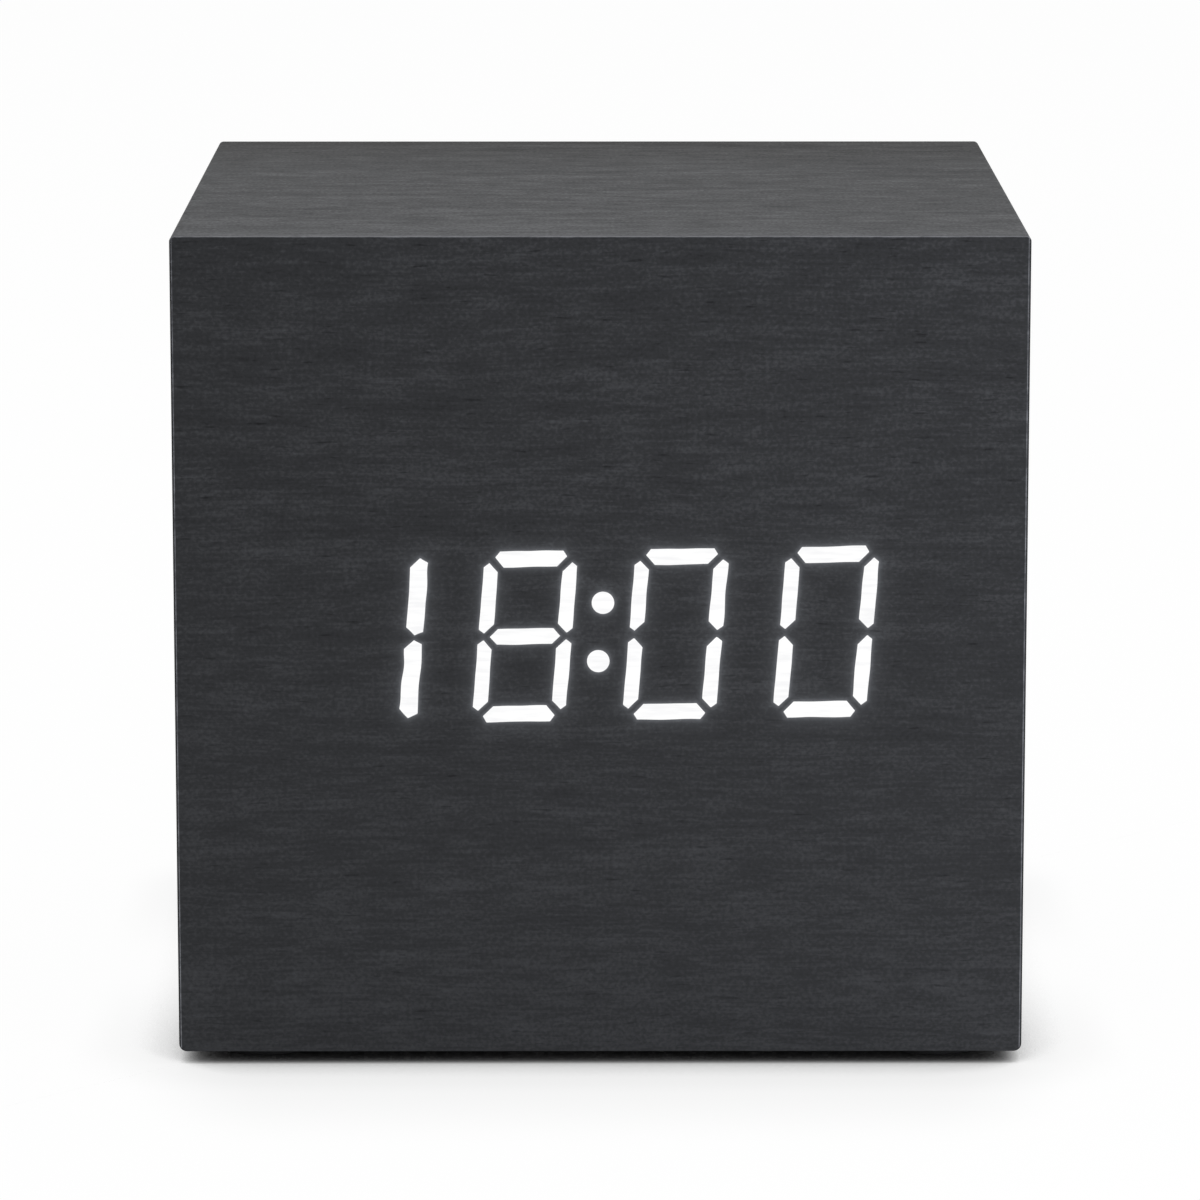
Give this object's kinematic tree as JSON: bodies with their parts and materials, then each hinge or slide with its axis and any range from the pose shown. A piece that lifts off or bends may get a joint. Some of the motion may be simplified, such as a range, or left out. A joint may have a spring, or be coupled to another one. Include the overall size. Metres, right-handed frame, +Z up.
{
  "type": "digital alarm clock",
  "caption": "Small box-shaped digital alarm clock in black wood veneer whose white time display shines through its plain front; buttons, power inlet and battery door at the rear.",
  "frame": {"origin": "on the table, under the middle of the case: the undersides of the four feet lie in the plane z = 0", "axes": "+Z up; the display faces -Y and the rear cover +Y; +X is the right-hand side seen from the front"},
  "size_m": [0.065, 0.065, 0.0643],
  "materials": {
    "veneer": "thin veneer stained black, fine grain, satin lacquer",
    "fibreboard": "raw medium-density fibreboard",
    "hardwood": "sawn, unfinished",
    "foot_rubber": "moulded, matt",
    "casing": "moulded, fine spark texture",
    "screw_steel": "zinc-plated",
    "cell_sleeve": "shrink sleeve over a steel can",
    "contact_nickel": "nickel-plated spring steel",
    "laminate": "glass laminate with green solder mask",
    "component": "moulded black resin",
    "pin_brass": "turned",
    "mask": "moulded, matt",
    "display_light": "milky light guide, lit from behind",
    "ribbon": "flat insulated wires side by side",
    "lead_black": "insulated wire",
    "lead_red": "insulated wire",
    "keycap": "moulded, satin",
    "plunger": "moulded"
  },
  "bodies": {
    "case": {"veneer_wrap": "veneer", "front_board": "fibreboard", "top_board": "fibreboard", "bottom_board": "fibreboard", "left_board": "fibreboard", "right_board": "fibreboard", "corner_block_1": "hardwood", "corner_block_2": "hardwood", "corner_block_3": "hardwood", "corner_block_4": "hardwood", "foot_1": "foot_rubber", "foot_2": "foot_rubber", "foot_3": "foot_rubber", "foot_4": "foot_rubber", "rear_cover": "casing", "cover_screw_1": "screw_steel", "cover_screw_2": "screw_steel", "cover_screw_3": "screw_steel", "cover_screw_4": "screw_steel", "battery_cell_1": "cell_sleeve", "battery_cell_2": "cell_sleeve", "battery_cell_3": "cell_sleeve", "negative_terminal": "contact_nickel", "link_contact_right": "contact_nickel", "link_contact_left": "contact_nickel", "positive_terminal": "contact_nickel", "button_board": "laminate", "button_board_screw_1": "screw_steel", "button_board_screw_2": "screw_steel", "switch_set": "component", "switch_up": "component", "switch_down": "component", "power_inlet": "component", "inlet_pin": "pin_brass", "segment_mask": "mask", "lens_tens_of_hours": "display_light", "lens_hours": "display_light", "lens_tens_of_minutes": "display_light", "lens_minutes": "display_light", "lens_colon": "display_light", "main_board": "laminate", "main_board_screw_1": "screw_steel", "main_board_screw_2": "screw_steel", "main_board_screw_3": "screw_steel", "main_board_screw_4": "screw_steel", "controller_chip": "component", "capacitor": "component", "buzzer": "component", "coin_cell_holder": "component", "coin_cell": "contact_nickel", "ribbon_cable": "ribbon", "battery_lead_negative": "lead_black", "battery_lead_positive": "lead_red"},
    "button_set": {"button_set": "keycap", "plunger_set": "plunger"},
    "button_up": {"button_up": "keycap", "plunger_up": "plunger"},
    "button_down": {"button_down": "keycap", "plunger_down": "plunger"},
    "battery_door": {"battery_door": "casing"}
  },
  "joints": [
    {"name": "button_set_press", "type": "slide", "parent": "case", "child": "button_set", "axis": [0, -1, 0], "range_m": [0, 0.0004], "stiffness_N_per_m": 800, "springref_m": -0.001},
    {"name": "button_up_press", "type": "slide", "parent": "case", "child": "button_up", "axis": [0, -1, 0], "range_m": [0, 0.0004], "stiffness_N_per_m": 800, "springref_m": -0.001},
    {"name": "button_down_press", "type": "slide", "parent": "case", "child": "button_down", "axis": [0, -1, 0], "range_m": [0, 0.0004], "stiffness_N_per_m": 800, "springref_m": -0.001},
    {"name": "battery_door_hinge", "type": "hinge", "parent": "case", "child": "battery_door", "pos_m": [0, 0.0315, 0.0126], "axis": [-1, 0, 0], "range_deg": [0, 85]}
  ]
}
